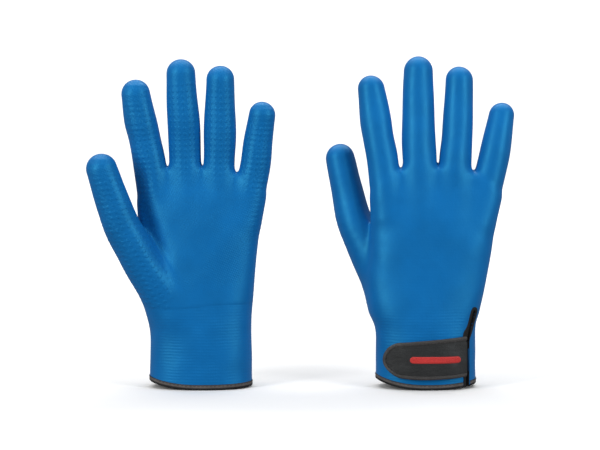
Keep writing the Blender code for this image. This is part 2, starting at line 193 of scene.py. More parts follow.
def digit_field(x, p, z, curve):
    """Distance to a tapered tube: the distance to the nearest point of the centreline less the radius there,
    with p stretched by 1 / flatness. Also gives how far along the digit that nearest point is."""
    best, along = np.full(np.shape(x), NO_PLACE), np.zeros(np.shape(x))
    for a, b in zip(curve[:-1], curve[1:]):
        ax, ap, az = b[:3] - a[:3]
        t = ((x - a[0]) * ax + (p - a[1]) * ap + (z - a[2]) * az) / (ax * ax + ap * ap + az * az)
        t = np.clip(t, 0, 1)
        gx, gp, gz = x - a[0] - t * ax, (p - a[1] - t * ap) / FINGER_FLATNESS, z - a[2] - t * az
        distance = np.sqrt(gx * gx + gp * gp + gz * gz) - (a[3] + t * (b[3] - a[3]))
        nearer = distance < best
        best = np.where(nearer, distance, best)
        along = np.where(nearer, a[4] + t * (b[4] - a[4]), along)
    return best, along


def palm_field(hand, x, p, z):
    """Distance to the cuff and palm: each level is a superellipse |u|^n + |v|^n = 1 of the row's widths, and
    the field is (r - 1) over its slope, cut off at the height of the finger webs."""
    rows = hand["fine_rows"]
    left, right, palm, back = (np.interp(z, rows[:, 0], rows[:, k]) for k in (1, 2, 3, 4))
    half, depth = (right - left) / 2, np.where(p > 0, palm, back)
    power = np.interp(z, [50, 110], [CUFF_POWER, PALM_POWER])
    u, v = np.abs(x - (left + right) / 2) / half, np.abs(p) / depth
    r = np.maximum((u**power + v**power) ** (1 / power), 0.15)
    slope = np.hypot(u ** (power - 1) / half, v ** (power - 1) / depth) * r ** (1 - power)
    side = (r - 1) / np.maximum(slope, 0.015)
    webs = np.asarray(hand["fine_webs"])
    top = z - np.interp(x, webs[:, 0], webs[:, 1])
    return -smooth_least(-side, -top, 8.0)


def surface_waves(hand, x, p, z):
    """Slow swells of soft material, under half a millimetre: sines of mixed lengths along x, p and z."""
    phase = 1.7 if hand["palm"] > 0 else 0.0
    swell = 0.22 * np.sin(x / 9.0 + z / 17.0 + phase) * np.sin(z / 12.0 - x / 31.0 + 2 * phase)
    swell += 0.14 * np.sin(x / 5.3 - z / 7.9 + p / 8.0 + phase)
    return swell * smooth_step(z, 4, 25)


def thumb_crease(x, p, z):
    """The groove between the thumb's mound and the palm: a Gaussian valley along a line that slants from the
    index finger's root past the thumb's crotch to the heel."""
    heights = CREASE[0]
    away = (x - np.interp(z, *CREASE)) / 7.5
    fade = smooth_step(z, heights[0] - 8, heights[0] + 38)
    fade = fade * (1 - smooth_step(z, heights[-1] - 22, heights[-1]))
    return 3.4 * np.exp(-(away**2)) * fade * smooth_step(p, 2, 11)


def joined(hand, x, p, z, digits, thumb):
    """The palm joined to the fingers by a fillet, and to the thumb by one that opens from the crotch down to
    the wrist, with the waves and the crease added."""
    body = smooth_least(palm_field(hand, x, p, z), digits, PALM_FILLET)
    body = smooth_least(body, thumb, np.interp(z, *THUMB_FILLETS))
    return body + surface_waves(hand, x, p, z) + thumb_crease(x, p, z)


def hand_field(hand, x, p, z):
    """The whole hand: fingers joined to each other by a tight fillet, then to the palm and thumb."""
    digits = np.full(np.shape(x), NO_PLACE)
    for curve in hand["finger_curves"]:
        digits = smooth_least(digits, digit_field(x, p, z, curve)[0], FINGER_FILLET)
    return joined(hand, x, p, z, digits, digit_field(x, p, z, hand["thumb_curve"])[0])


def hand_grid(hand, step):
    """The field on a grid, with each digit worked out only in the box round it."""
    axes = [np.arange(low, high, step) for low, high in zip(GRID_LOW, GRID_HIGH)]
    x, p, z = np.meshgrid(*axes, indexing="ij")
    digits, thumb = np.full(x.shape, NO_PLACE), np.full(x.shape, NO_PLACE)
    for curve in [*hand["finger_curves"], hand["thumb_curve"]]:
        reach = curve[:, 3].max() + 14
        ends = zip(axes, curve[:, :3].min(axis=0) - reach, curve[:, :3].max(axis=0) + reach)
        part = tuple(slice(*np.searchsorted(axis, (low, high))) for axis, low, high in ends)
        near = digit_field(x[part], p[part], z[part], curve)[0]
        if curve is hand["thumb_curve"]:
            thumb[part] = near
        else:
            digits[part] = smooth_least(digits[part], near, FINGER_FILLET)
    return axes, joined(hand, x, p, z, digits, thumb)


def net_of(axes, field):
    """Points and quads where the field is zero. Each grid cell that the surface crosses gets one point, the
    mean of its edges' crossings, and each crossed edge joins the four cells round it."""
    step, shape = axes[0][1] - axes[0][0], np.array(field.shape)
    cells = shape - 1
    sums, counts, edges = np.zeros((cells.prod(), 3)), np.zeros(cells.prod()), []
    for axis in range(3):
        turned = np.moveaxis(field, axis, 0)
        near, far = turned[:-1], turned[1:]
        crossed = np.argwhere((near < 0) != (far < 0))
        a, b = near[tuple(crossed.T)], far[tuple(crossed.T)]
        place = np.insert(crossed[:, 1:], axis, crossed[:, 0], axis=1).astype(int)
        at = place.astype(float)
        at[:, axis] += a / (a - b)
        one, two = across = [k for k in range(3) if k != axis]
        inner = ((place[:, across] > 0) & (place[:, across] < cells[across])).all(axis=1)
        place, at, a = place[inner], at[inner], a[inner]
        round_edge = []
        for d_one, d_two in ((0, 0), (-1, 0), (-1, -1), (0, -1)):
            cell = place.copy()
            cell[:, one] += d_one
            cell[:, two] += d_two
            flat = np.ravel_multi_index(cell.T, cells)
            round_edge.append(flat)
            for k in range(3):
                sums[:, k] += np.bincount(flat, at[:, k], len(counts))
            counts += np.bincount(flat, minlength=len(counts))
        quads = np.column_stack(round_edge)
        forward = (a < 0) if axis != 1 else (a >= 0)
        edges.append(np.where(forward[:, None], quads, quads[:, ::-1]))
    quads = np.concatenate(edges)
    used, quads = np.unique(quads, return_inverse=True)
    low = np.array([a[0] for a in axes])
    return sums[used] / counts[used, None] * step + low, quads.reshape(-1, 4)


def settle(points, field, rounds=2, reach=0.4):
    """Moves points to where the field is zero: p - f grad f / |grad f|^2, by short central differences."""
    for _ in range(rounds):
        value = field(*points.T)
        slope = gradient(points, field, reach)
        points = points - slope * (value / np.maximum((slope**2).sum(1), 0.2))[:, None]
    return points


def gradient(points, field, reach=0.4):
    """Central differences of the field along each axis."""
    columns = []
    for k in range(3):
        shift = np.eye(3)[k] * reach
        columns.append((field(*(points + shift).T) - field(*(points - shift).T)) / (2 * reach))
    return np.column_stack(columns)


def kept(points, quads, keep):
    """The quads whose four points are all kept, and only the points that they use."""
    quads = quads[keep[quads].all(axis=1)]
    used, quads = np.unique(quads, return_inverse=True)
    return points[used], quads.reshape(-1, 4)


def slit_distance(x, p, z):
    """Distance from the wrist slit's centreline on the back of the cuff, less half the width cut away."""
    lean_x, lean_z = SLIT_TOP_X - SLIT_X, SLIT_TOP_Z - SLIT_BEND
    t = np.clip(((x - SLIT_X) * lean_x + (z - SLIT_BEND) * lean_z) / (lean_x**2 + lean_z**2), 0, 1)
    leaning = np.hypot(x - SLIT_X - t * lean_x, z - SLIT_BEND - t * lean_z)
    straight = np.where(z < SLIT_BEND, np.abs(x - SLIT_X), leaning)
    return np.where(p < 0, np.minimum(straight, leaning), NO_PLACE) - SLIT_HALF_CUT


def digit_coordinates(hand, points):
    """For each point, on the nearest digit: millimetres round it from its palm side, millimetres along it
    and the digit's share, which falls to 0 at its root, at its tip and half way to the next digit. Also how
    far that digit's middle lies from the hand's middle plane, faded out over the palm."""
    x, p, z = points.T
    over_palm = palm_field(hand, x, p, z)
    nearest, second = np.full(len(x), NO_PLACE), np.full(len(x), NO_PLACE)
    around, along, middle, to_tip = np.zeros((4, len(x)))
    for curve in [*hand["finger_curves"], hand["thumb_curve"]]:
        near, far_along = digit_field(x, p, z, curve)
        mine = near < nearest
        second = np.where(mine, nearest, np.minimum(second, near))
        centre_x, centre_p = (np.interp(far_along, curve[:, 4], curve[:, k]) for k in (0, 1))
        around = np.where(mine, np.arctan2(x - centre_x, p - centre_p) * AROUND_RADIUS, around)
        along = np.where(mine, far_along, along)
        to_tip = np.where(mine, smooth_step(curve[-1, 4] - far_along, 1, 9), to_tip)
        middle = np.where(mine, centre_p, middle)
        nearest = np.where(mine, near, nearest)
    share = smooth_step(over_palm - nearest, 0, 5) * smooth_step(second - nearest, 0, 2.5) * to_tip
    return np.column_stack([around, along, share]), middle * smooth_step(over_palm - nearest, -2, 4)


# ---------------------------------------------------------------- grids, sweeps and stitches


def grid_quads(rows, columns, around=False):
    """Quads of a grid of points in row order. With around, the last column joins the first."""
    r, c = np.meshgrid(np.arange(rows - 1), np.arange(columns if around else columns - 1), indexing="ij")
    nxt = (c + 1) % columns
    corners = [r * columns + c, r * columns + nxt, (r + 1) * columns + nxt, (r + 1) * columns + c]
    return np.stack(corners, axis=-1).reshape(-1, 4)


def tubes(rings, sides, count=1):
    """Faces of that many separate tubes of rings, each closed by a face at both ends."""
    one = grid_quads(rings, sides, around=True).tolist()
    one += [list(range(sides))[::-1], list(range((rings - 1) * sides, rings * sides))]
    return [[corner + k * rings * sides for corner in face] for k in range(count) for face in one]


def sweep(path, side, out, profile):
    """A profile carried along a path, closed at both ends: point (i, j) = path i + profile j's first number
    along side i and its second along out i."""
    rings = path[:, None] + profile[None, :, :1] * side[:, None] + profile[None, :, 1:] * out[:, None]
    return rings.reshape(-1, 3), tubes(*rings.shape[:2])


def rounded(corners, radius, steps=4):
    """A closed outline with each corner replaced by the curve (1-t)^2 a + 2t(1-t) corner + t^2 b between
    points a and b, a radius away from the corner on its two sides."""
    c = np.asarray(corners, float)
    radius = np.broadcast_to(radius, len(c))
    before, after = np.roll(c, 1, axis=0) - c, np.roll(c, -1, axis=0) - c
    a = c + before * (radius / np.linalg.norm(before, axis=1))[:, None]
    b = c + after * (radius / np.linalg.norm(after, axis=1))[:, None]
    t = np.linspace(0, 1, steps)[None, :, None]
    return ((1 - t) ** 2 * a[:, None] + 2 * t * (1 - t) * c[:, None] + t**2 * b[:, None]).reshape(-1, 2)


def flat_3d(points):
    """Rows of two numbers with a third, 0."""
    return np.pad(points, ((0, 0), (0, 1)))


def unit(vectors):
    return vectors / np.linalg.norm(vectors, axis=-1, keepdims=True)


def lengths_along(points):
    """How far along the polyline each of its points is."""
    return np.concatenate([[0], np.cumsum(np.linalg.norm(np.diff(points, axis=0), axis=1))])


def read_at(at, lengths, values):
    """Each column of values, given at those lengths, read at other lengths."""
    return np.column_stack([np.interp(at, lengths, column) for column in values.T])


def evenly(points, spacing):
    """The polyline resampled at even steps, with how far along each sample is."""
    lengths = lengths_along(points)
    at = np.linspace(0, lengths[-1], max(2, round(lengths[-1] / spacing) + 1))
    return read_at(at, lengths, points), at


def stitches(path, out, pitch=3.2, length=2.4, radius=0.22):
    """A row of stitches: each is a thin ellipsoid bent down at its ends, set along the path's tangent."""
    lengths, at = lengths_along(path), evenly(path, pitch)[1][:-1] + pitch / 2
    middle = read_at(at, lengths, path)
    t = unit(read_at(at, lengths, unit(np.gradient(path, axis=0))))
    n = unit(read_at(at, lengths, out))
    s = np.cross(t, n)
    rings, sides = 7, 6
    u = np.linspace(-1, 1, rings)
    turn = np.linspace(0, math.tau, sides, endpoint=False)
    thick = radius * np.sqrt(np.maximum(1 - u**6, 0.04))
    template = np.stack(
        [
            np.repeat((u * length / 2)[:, None], sides, 1),
            thick[:, None] * np.cos(turn),
            thick[:, None] * np.sin(turn) - 0.35 * np.abs(u[:, None]) ** 3,
        ],
        axis=-1,
    ).reshape(-1, 3)
    points = middle[:, None] + template[None, :, :1] * t[:, None] + template[None, :, 1:2] * s[:, None]
    points = points + template[None, :, 2:] * n[:, None]
    return points.reshape(-1, 3), tubes(rings, sides, len(middle))


def slab(top, bottom):
    """A closed sheet between two grids of points of the same shape (rows, columns, 3)."""
    rows, columns = top.shape[:2]
    count = rows * columns
    faces = grid_quads(rows, columns)
    rim = np.concatenate(
        [
            np.arange(columns),
            np.arange(1, rows) * columns + columns - 1,
            (rows - 1) * columns + np.arange(columns - 2, -1, -1),
            np.arange(rows - 2, 0, -1) * columns,
        ]
    )
    after = np.roll(rim, -1)
    side = np.column_stack([rim, after, after + count, rim + count])
    faces = np.concatenate([faces, faces[:, ::-1] + count, side])
    return np.concatenate([top.reshape(-1, 3), bottom.reshape(-1, 3)]), faces.tolist()


# ---------------------------------------------------------------- places on the cuff


def cuff_outline(hand):
    """The cuff's outline, round the whole tube: x, p, outward normal x and p, and distance along it."""
    _, left, right, palm, back = hand["fine_rows"][0]
    turn = np.linspace(0, math.tau, 1441)
    c, s = np.cos(turn), np.sin(turn)
    x = (left + right) / 2 + (right - left) / 2 * np.sign(c) * np.abs(c) ** (2 / CUFF_POWER)
    p = np.where(s > 0, palm, back) * np.sign(s) * np.abs(s) ** (2 / CUFF_POWER)
    points, along = evenly(np.column_stack([x, p]), OUTLINE_STEP)
    tangent = unit(np.gradient(points, axis=0))
    return points, np.column_stack([tangent[:, 1], -tangent[:, 0]]), along


def over_cuff(hand, x, z, out):
    """Points that far out from the back of the cuff where the raised wall has that x, and their normals."""
    points, normals, _ = cuff_outline(hand)
    back = points[:, 1] < 0
    points, normals = points[back], normals[back]
    x, z, out = np.broadcast_arrays(np.asarray(x, float), z, out)
    base = x.copy()
    order = np.argsort(points[:, 0])
    xs, ps = points[order, 0], points[order, 1]
    nx, np_ = normals[order, 0], normals[order, 1]
    for _ in range(6):  # the wall's x is the base's x plus the normal's share of the height
        base = x - out * np.interp(base, xs, nx)
    n = unit(np.stack([np.interp(base, xs, nx), np.interp(base, xs, np_), np.zeros(x.shape)], axis=-1))
    at = np.stack([base, np.interp(base, xs, ps), z], axis=-1)
    return at + n * out[..., None], n


def on_back(hand, x, z):
    """Points of the hand's back at each x and z, by halving along p, and the outward normals there."""
    low, high = np.full(np.shape(x), -45.0), np.full(np.shape(x), 0.0)
    for _ in range(24):
        middle = (low + high) / 2
        outside = hand_field(hand, x, middle, z) > 0
        low, high = np.where(outside, middle, low), np.where(outside, high, middle)
    points = np.column_stack([x, (low + high) / 2, z])
    return points, unit(gradient(points, lambda *q: hand_field(hand, *q)))


# ---------------------------------------------------------------- meshes


def in_pair_frame(hand, points):
    """From a glove's own millimetres to metres in the shared frame. The soft cuff's hem bows up at its
    sides, by b |x / 41|^2.2 at the floor, which fades out by 30 mm up."""
    points = np.array(points, float)
    x, z = points[..., 0], points[..., 2]
    bow = np.where(x < 0, *hand["bow"]) * np.minimum(np.abs(x / 41), 1.1) ** 2.2
    points[..., 2] += bow * (1 - smooth_step(z, 2, 30))
    return points * (1, hand["palm"], 1) * MM + (hand["centre"][0], hand["centre"][1], 0)


def finished_object(hand, name, points, faces, look, attributes=None, thickness=0.0):
    """A piece at the origin, its place in its mesh. A closed piece has its normals recalculated. An open
    surface of quads in an array, which face outwards on the right hand, is thickened inwards."""
    mesh = bpy.data.meshes.new(name)
    if thickness:
        faces = (faces if hand["palm"] > 0 else faces[:, ::-1]).tolist()
    mesh.from_pydata(in_pair_frame(hand, points).tolist(), [], faces)
    for key, values in (attributes or {}).items():
        kind = "FLOAT" if values.ndim == 1 else "FLOAT_VECTOR"
        layer = mesh.attributes.new(key, kind, "POINT")
        layer.data.foreach_set("value" if values.ndim == 1 else "vector", values.astype(np.float32).ravel())
    if not thickness:
        edit = bmesh.new()
        edit.from_mesh(mesh)
        bmesh.ops.recalc_face_normals(edit, faces=edit.faces)
        edit.to_mesh(mesh)
        edit.free()
    obj = bpy.data.objects.new(name, mesh)
    bpy.context.scene.collection.objects.link(obj)
    if thickness:
        wall = obj.modifiers.new("Wall", "SOLIDIFY")
        wall.thickness = thickness * MM
        wall.offset = -1
        graph = bpy.context.evaluated_depsgraph_get()
        walled = bpy.data.meshes.new_from_object(obj.evaluated_get(graph))
        obj.modifiers.clear()
        obj.data = walled
        bpy.data.meshes.remove(mesh)
        walled.name = name
    obj.data.materials.clear()
    obj.data.materials.append(finishes(bpy.context.scene.glove_colours)[look])
    obj.data.shade_smooth()
    obj.data.set_sharp_from_angle(angle=math.radians(50))
    return obj


def add_piece(hand, name, node, points, faces, look, body="glove", slot=None, **shape):
    """A finished piece that rides on that body of its hand and stands for one solid. Its slot argument is not
    used."""
    side = hand["side"]
    piece = finished_object(hand, f"{side}_{name}", points, faces, look, **shape)
    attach(piece, f"{side}_{body}")
    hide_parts(f"{side}_{node}")


# ---------------------------------------------------------------- finishes


class Value:
    """A shader socket that does sums: an expression on Values adds the Math nodes that work it out."""

    def __init__(self, finish, socket):
        self.finish, self.socket = finish, socket

    def math(self, operation, *others):
        return self.finish.node("ShaderNodeMath", {"operation": operation}, dict(enumerate((self, *others))))

    def __add__(self, other):
        return self.math("ADD", other)

    def __sub__(self, other):
        return self.math("SUBTRACT", other)

    def __mul__(self, other):
        return self.math("MULTIPLY", other)

    def __rsub__(self, other):
        return (self * -1) + other

    __radd__, __rmul__ = __add__, __mul__

    def wave(self, length):
        """sin(2 pi value / length)"""
        return (self * (math.tau / length)).math("SINE")

    def step(self, low, high):
        """0 below low, 1 above high, smooth between."""
        names = {0: self, 1: low, 2: high, 3: 0.0, 4: 1.0}
        return self.finish.node("ShaderNodeMapRange", {"interpolation_type": "SMOOTHSTEP"}, names)


class Finish:
    """A Principled material whose nodes are added by node()."""

    def __init__(self, name, colour, roughness, **constants):
        self.material = bpy.data.materials.new(name)
        self.material.use_nodes = True
        self.tree = self.material.node_tree
        self.shader = self.tree.nodes["Principled BSDF"]
        self.material.diffuse_color = (*colour, 1)
        self.shader.inputs["Base Color"].default_value = (*colour, 1)
        self.shader.inputs["Roughness"].default_value = roughness
        for key, value in constants.items():
            self.shader.inputs[key.replace("_", " ").title().replace("Ior", "IOR")].default_value = value

    def node(self, kind, settings=None, sockets=None, output=0):
        """A node of that type. Settings are set first, then sockets take values or links."""
        made = self.tree.nodes.new(kind)
        for key, value in (settings or {}).items():
            setattr(made, key, value)
        for key, value in (sockets or {}).items():
            if isinstance(value, Value):
                self.tree.links.new(value.socket, made.inputs[key])
            else:
                made.inputs[key].default_value = value
        return Value(self, made.outputs[output])

    def millimetres(self, scale=(1, 1, 1)):
        """Object coordinates in millimetres, each axis times its scale."""
        place = self.node("ShaderNodeTexCoord", output="Object")
        size = tuple(s / MM for s in scale)
        return self.node("ShaderNodeMapping", sockets={"Vector": place, "Scale": size})

    def noise(self, where, size, detail=3.0, roughness=0.55):
        """Noise from 0 to 1 whose grains are about that many millimetres across."""
        sockets = {"Vector": where, "Scale": 1 / size, "Detail": detail, "Roughness": roughness}
        return self.node("ShaderNodeTexNoise", sockets=sockets)

    def cells(self, where, scale, feature="F1"):
        """Distance from scattered points, that many to the millimetre, or from the edges between them."""
        return self.node("ShaderNodeTexVoronoi", {"feature": feature}, {"Vector": where, "Scale": scale})

    def parts(self, vector):
        """The three numbers of a vector."""
        outputs = self.node("ShaderNodeSeparateXYZ", sockets={0: vector}).socket.node.outputs
        return [Value(self, outputs[k]) for k in range(3)]

    def part(self, name):
        """The three numbers of a mesh attribute."""
        return self.parts(self.node("ShaderNodeAttribute", {"attribute_name": name}, output="Vector"))

    def mix(self, share, one, two):
        """A colour between one and two."""
        one, two = (colour if isinstance(colour, Value) else (*colour, 1) for colour in (one, two))
        return self.node("ShaderNodeMix", {"data_type": "RGBA"}, {0: share, 6: one, 7: two}, output=2)

    def paint(self, colour, roughness=None, height=None):
        """Links the varying colour, roughness and bump height in millimetres."""
        self.tree.links.new(colour.socket, self.shader.inputs["Base Color"])
        if roughness is not None:
            self.tree.links.new(roughness.socket, self.shader.inputs["Roughness"])
        if height is not None:
            bump = self.node("ShaderNodeBump", sockets={"Height": height, "Distance": MM, "Strength": 1.0})
            self.tree.links.new(bump.socket, self.shader.inputs["Normal"])
        return self.material


def scaled(colour, share):
    return tuple(min(c * share, 1) for c in colour)


def nitrile_finish(name, colour, embossed):
    """Dipped nitrile over a knit: a satin skin that shows the knit's courses at the cuff. The embossed kind
    has rows of dimples on the digits and a fine slanted grain on the palm."""
    finish = Finish(name, colour, 0.5, specular_ior_level=0.75, specular_tint=(0.1, 0.75, 1.0, 1.0))
    where = finish.millimetres()
    x, _, z = finish.parts(where)
    around, along, digit = finish.part("digit")
    patches = finish.noise(where, 9, 3).step(0.35, 0.7)
    skin = finish.noise(where, 0.9, 4, 0.6)
    lumps = finish.noise(where, 2.4, 2)
    wobble = finish.noise(where, 16, 1) * 1.6
    courses = (z + wobble).wave(2.45) * 0.5 + 0.5
    wales = x.wave(1.9) * 0.5 + 0.5
    shown = (1 - z.step(50, 80)) * (patches * 0.8 + 0.2)
    knit = (courses * 0.75 + courses * wales * 0.25) * (shown + 0.12)
    height = knit * 0.085 + skin * 0.05 + lumps * 0.08
    if embossed:
        dimples = ((along.wave(4.9) + around.wave(4.1)) * 0.5).step(0.1, 0.7) * digit
        slanted = ((x + z * 0.9).wave(2.3) * (x - z * 0.7).wave(5.2)).step(-0.1, 0.8)
        grain = slanted * (1 - digit) * z.step(70, 95) * (patches * 0.5 + 0.5)
        height = height + dimples * 0.17 + grain * 0.1
    shade = finish.mix(finish.noise(where, 26, 2).step(0.3, 0.7), scaled(colour, 0.94), scaled(colour, 1.06))
    shade = finish.mix(knit * 0.3, shade, scaled(colour, 1.2))
    return finish.paint(shade, patches * 0.06 + skin * 0.07 + 0.39, height)


def knit_finish(name, colour):
    """Plain knit seen from inside the wall: V stitches in courses and wales."""
    finish = Finish(name, colour, 0.9, sheen_weight=0.2)
    where = finish.millimetres()
    x, _, z = finish.parts(where)
    stitch = (x.wave(1.6).math("ABSOLUTE") * 0.8 + z).wave(1.3) * 0.5 + 0.5
    fuzz = finish.noise(where, 0.5, 3)
    shade = finish.mix(stitch * 0.6 + fuzz * 0.4, scaled(colour, 0.5), scaled(colour, 1.3))
    return finish.paint(shade, fuzz * 0.1 + 0.82, stitch * 0.2 + fuzz * 0.1)


def pile_finish(name, colour):
    """Brushed terry: tufts over a noisy nap."""
    finish = Finish(name, colour, 0.95, sheen_weight=0.35)
    where = finish.millimetres()
    tufts = finish.cells(where, 0.55)
    nap = finish.noise(where, 0.6, 4, 0.7)
    shade = finish.mix(tufts * 0.9 + nap * 0.3, scaled(colour, 1.5), scaled(colour, 0.5))
    return finish.paint(shade, nap * 0.1 + 0.85, (1 - tufts) * 0.7 + nap * 0.35)


def tape_finish(name, colour, lit_crest):
    """Woven tape: fine twill ribs, with the fold's crest painted lighter: a painted highlight, mottled like
    wear.
    """
    finish = Finish(name, colour, 0.7, specular_ior_level=0.3)
    where = finish.millimetres()
    along, across, _ = finish.part("tape")
    rib = (along + across * 1.4).wave(0.9) * 0.5 + 0.5
    fuzz = finish.noise(where, 0.7, 3)
    # The band across the tape's outer face below the fold's crest is painted lighter: a painted highlight,
    # with a noisy mottle of wear.
    rub = across.step(0.8, 2.0) * (1 - across.step(2.9, 4.0)) * (finish.noise(where, 6, 2) * 0.7 + 0.5)
    shade = finish.mix(rub, finish.mix(rib, scaled(colour, 0.7), scaled(colour, 1.25)), lit_crest)
    return finish.paint(shade, fuzz * 0.15 + 0.55, rib * 0.09 + fuzz * 0.08)


def leather_finish(name, colour, wrinkle):
    """Synthetic leather: pebbled cells between fine valleys, a few soft wrinkles and rubbed high spots."""
    finish = Finish(name, colour, 0.5, specular_ior_level=0.45)
    where = finish.millimetres()
    cells = finish.cells(where, 0.95, "DISTANCE_TO_EDGE")
    pebbles = cells.step(0.0, 0.22)
    folds = finish.noise(finish.millimetres((0.22, 0.22, 0.6)), 2.2, 3, 0.6)
    rub = finish.noise(where, 11, 3).step(0.45, 0.75)
    shade = finish.mix(pebbles * 0.5 + rub * 0.5, scaled(colour, 0.6), scaled(colour, 1.55))
    rough = 0.62 - rub * 0.16 - pebbles * 0.06
    return finish.paint(shade, rough, pebbles * 0.07 + folds * wrinkle)


def thread_finish(name, colour, pitch):
    """Twisted thread: slanted plies along its length."""
    finish = Finish(name, colour, 0.6, sheen_weight=0.2)
    where = finish.millimetres()
    x, y, z = finish.parts(where)
    ply = (x + y + z * 1.3).wave(pitch) * 0.5 + 0.5
    shade = finish.mix(ply, scaled(colour, 0.65), scaled(colour, 1.2))
    return finish.paint(shade, ply * 0.12 + 0.5, ply * 0.06)


def fuzzy_finish(name, colour, size):
    """Hook-and-loop tape: a dark matted nap."""
    finish = Finish(name, colour, 0.9, sheen_weight=0.25)
    where = finish.millimetres()
    nap = finish.noise(where, size, 5, 0.75)
    curls = finish.cells(where, 0.8 / size)
    shade = finish.mix(nap * 0.7 + curls * 0.4, scaled(colour, 0.5), scaled(colour, 2.2))
    return finish.paint(shade, nap * 0.1 + 0.8, nap * 0.35 + curls * 0.3)


def label_finish(name, colour):
    """White woven label: plain weave, with no marks."""
    finish = Finish(name, colour, 0.8)
    x, _, z = finish.parts(finish.millimetres())
    weave = x.wave(0.7) * z.wave(0.7) * 0.5 + 0.5
    shade = finish.mix(weave, scaled(colour, 0.82), colour)
    return finish.paint(shade, weave * 0.08 + 0.72, weave * 0.06)


def pale_finish(name, colour):
    """The stage's matte paint, with a faint mottle."""
    finish = Finish(name, colour, 0.9, specular_ior_level=0.1)
    mottle = finish.noise(finish.millimetres(), 180, 2)
    shade = finish.mix(mottle, scaled(colour, 0.985), colour)
    return finish.paint(shade)


# ---------------------------------------------------------------- settings


def length(name, description, default, low=0.0):
    """A length's setting, from its default and least value in millimetres."""
    return bpy.props.FloatProperty(
        name=name, description=description, default=default * MM, min=low * MM, unit="LENGTH"
    )


def tint(name, what, default):
    """A colour's setting."""
    return bpy.props.FloatVectorProperty(
        name=name, description=f"Colour of the {what}", subtype="COLOR", default=default
    )


class GloveSizes(bpy.types.PropertyGroup):
    skin_step: length("Skin spacing", "Distance between the points of the coat's surface", 1.35, 0.8)
    lining_step: length("Lining spacing", "Distance between the points of the inner layers", 2.7, 1.5)
    coat_wall: length("Coat wall", "Thickness of the nitrile coat", 0.8)
    knit_wall: length("Knit wall", "Thickness of the knitted carrier", 0.7)
    thermal_wall: length("Thermal wall", "Thickness of the brushed lining", 1.5)
    grip_height: length("Grip coat height", "How far the second dip stands over the first", 0.8)
    grip_start: length("Grip coat start", "Height of the second dip's lower edge", 64)
    strap_wall: length("Strap wall", "Thickness of the strap's leather", 1.3)


class GloveColours(bpy.types.PropertyGroup):
    coat: tint("Coat", "nitrile", (0.0045, 0.135, 0.42))
    knit: tint("Knit", "knitted carrier", (0.04, 0.11, 0.27))
    pile: tint("Lining", "brushed lining", (0.06, 0.065, 0.075))
    tape: tint("Binding", "binding tape", (0.009, 0.0095, 0.011))
    # The binding's crest colour: a painted highlight, with wear.
    tape_crest_highlight: tint("Lit and rubbed binding", "tape's crest, painted lit and rubbed", (0.14, 0.126, 0.122))
    leather: tint("Strap", "strap's leather", (0.013, 0.015, 0.0165))
    piping: tint("Strap edge", "strap's rolled edge", (0.044, 0.041, 0.041))
    emblem: tint("Emblem", "embroidered bar", (0.62, 0.02, 0.018))
    stage: tint("Stage", "floor and backdrop", (0.93, 0.93, 0.93))


class GloveStage(bpy.types.PropertyGroup):
    elevation: bpy.props.FloatProperty(
        name="Elevation", description="How far above level the camera looks from", subtype="ANGLE",
        default=math.radians(5.0),
    )
    distance: length("Distance", "From the camera to the middle of the pair", 2400)
    width: length("View width", "Width that the picture covers at the gloves", 489)


def finishes(colours):
    """Every finish by name, made once."""
    coat = tuple(colours.coat)
    recipes = {
        "nitrile": (nitrile_finish, coat, False),
        "grip_nitrile": (nitrile_finish, scaled(coat, 0.97), True),
        "knit": (knit_finish, tuple(colours.knit)),
        "thermal_pile": (pile_finish, tuple(colours.pile)),
        # The hem tape's crest is painted lighter, a painted highlight with wear; the slit tape's crest only
        # faintly.
        "binding_tape": (tape_finish, tuple(colours.tape), tuple(colours.tape_crest_highlight)),
        "slit_tape": (tape_finish, tuple(colours.tape), scaled(colours.tape_crest_highlight, 0.08)),
        "strap_leather": (leather_finish, tuple(colours.leather), 0.35),
        "strap_piping": (leather_finish, tuple(colours.piping), 0.1),
        "hook_and_loop": (fuzzy_finish, (0.012, 0.012, 0.013), 0.7),
        "thread": (thread_finish, (0.015, 0.015, 0.017), 0.5),
        "red_thread": (thread_finish, tuple(colours.emblem), 0.45),
        "label": (label_finish, (0.72, 0.72, 0.7)),
    }
    made = {}
    for key, (recipe, *settings) in recipes.items():
        name = f"fine_{key}"
        made[key] = bpy.data.materials.get(name) or recipe(name, *settings)
    return made


def prepare_hands():
    """Works out each hand's smooth curves once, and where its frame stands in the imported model."""
    for side, hand in HANDS.items():
        if "side" in hand:
            continue
        low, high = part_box(f"{side}_hem_binding")
        hand["side"] = side
        hand["centre"] = ((low.x + high.x) / 2, (low.y + high.y) / 2)
        hand["fine_rows"] = through(hand["rows"], 90)
        hand["fine_webs"] = through(hand["webs"], 40)
        hand["finger_curves"] = [digit_curve(stations) for stations in hand["fingers"]]
        hand["thumb_curve"] = digit_curve(hand["thumb"])
    return HANDS.values()


def layer(hand, inset, step):
    """The hand's surface drawn in by the inset, open at the cuff and the slit, as points and quads."""
    axes, field = hand_grid(hand, step)
    points, quads = net_of(axes, field + inset)
    points = settle(points, lambda *q: hand_field(hand, *q) + inset)
    keep = (points[:, 2] > RAW_EDGE - step) & (slit_distance(*points.T) > 0)
    points, quads = kept(points, quads, keep)
    points[:, 2] = np.maximum(points[:, 2], RAW_EDGE)
    return points, quads


def digit_attribute(hand, points):
    return {"digit": digit_coordinates(hand, points)[0]}


def grip_border(hand, points, start):
    """Millimetres inside the second dip's border: over its wavy lower edge, and on the palm's side of the
    middle of the hand, and of each digit."""
    x, p, z = points.T
    lower = z - start - 1.2 * np.sin(x / 13) - 0.02 * x
    middle = digit_coordinates(hand, points)[1]
    return np.minimum(lower, p - middle + 1.3 + 0.6 * np.sin(z / 9))


# ---------------------------------------------------------------- operators


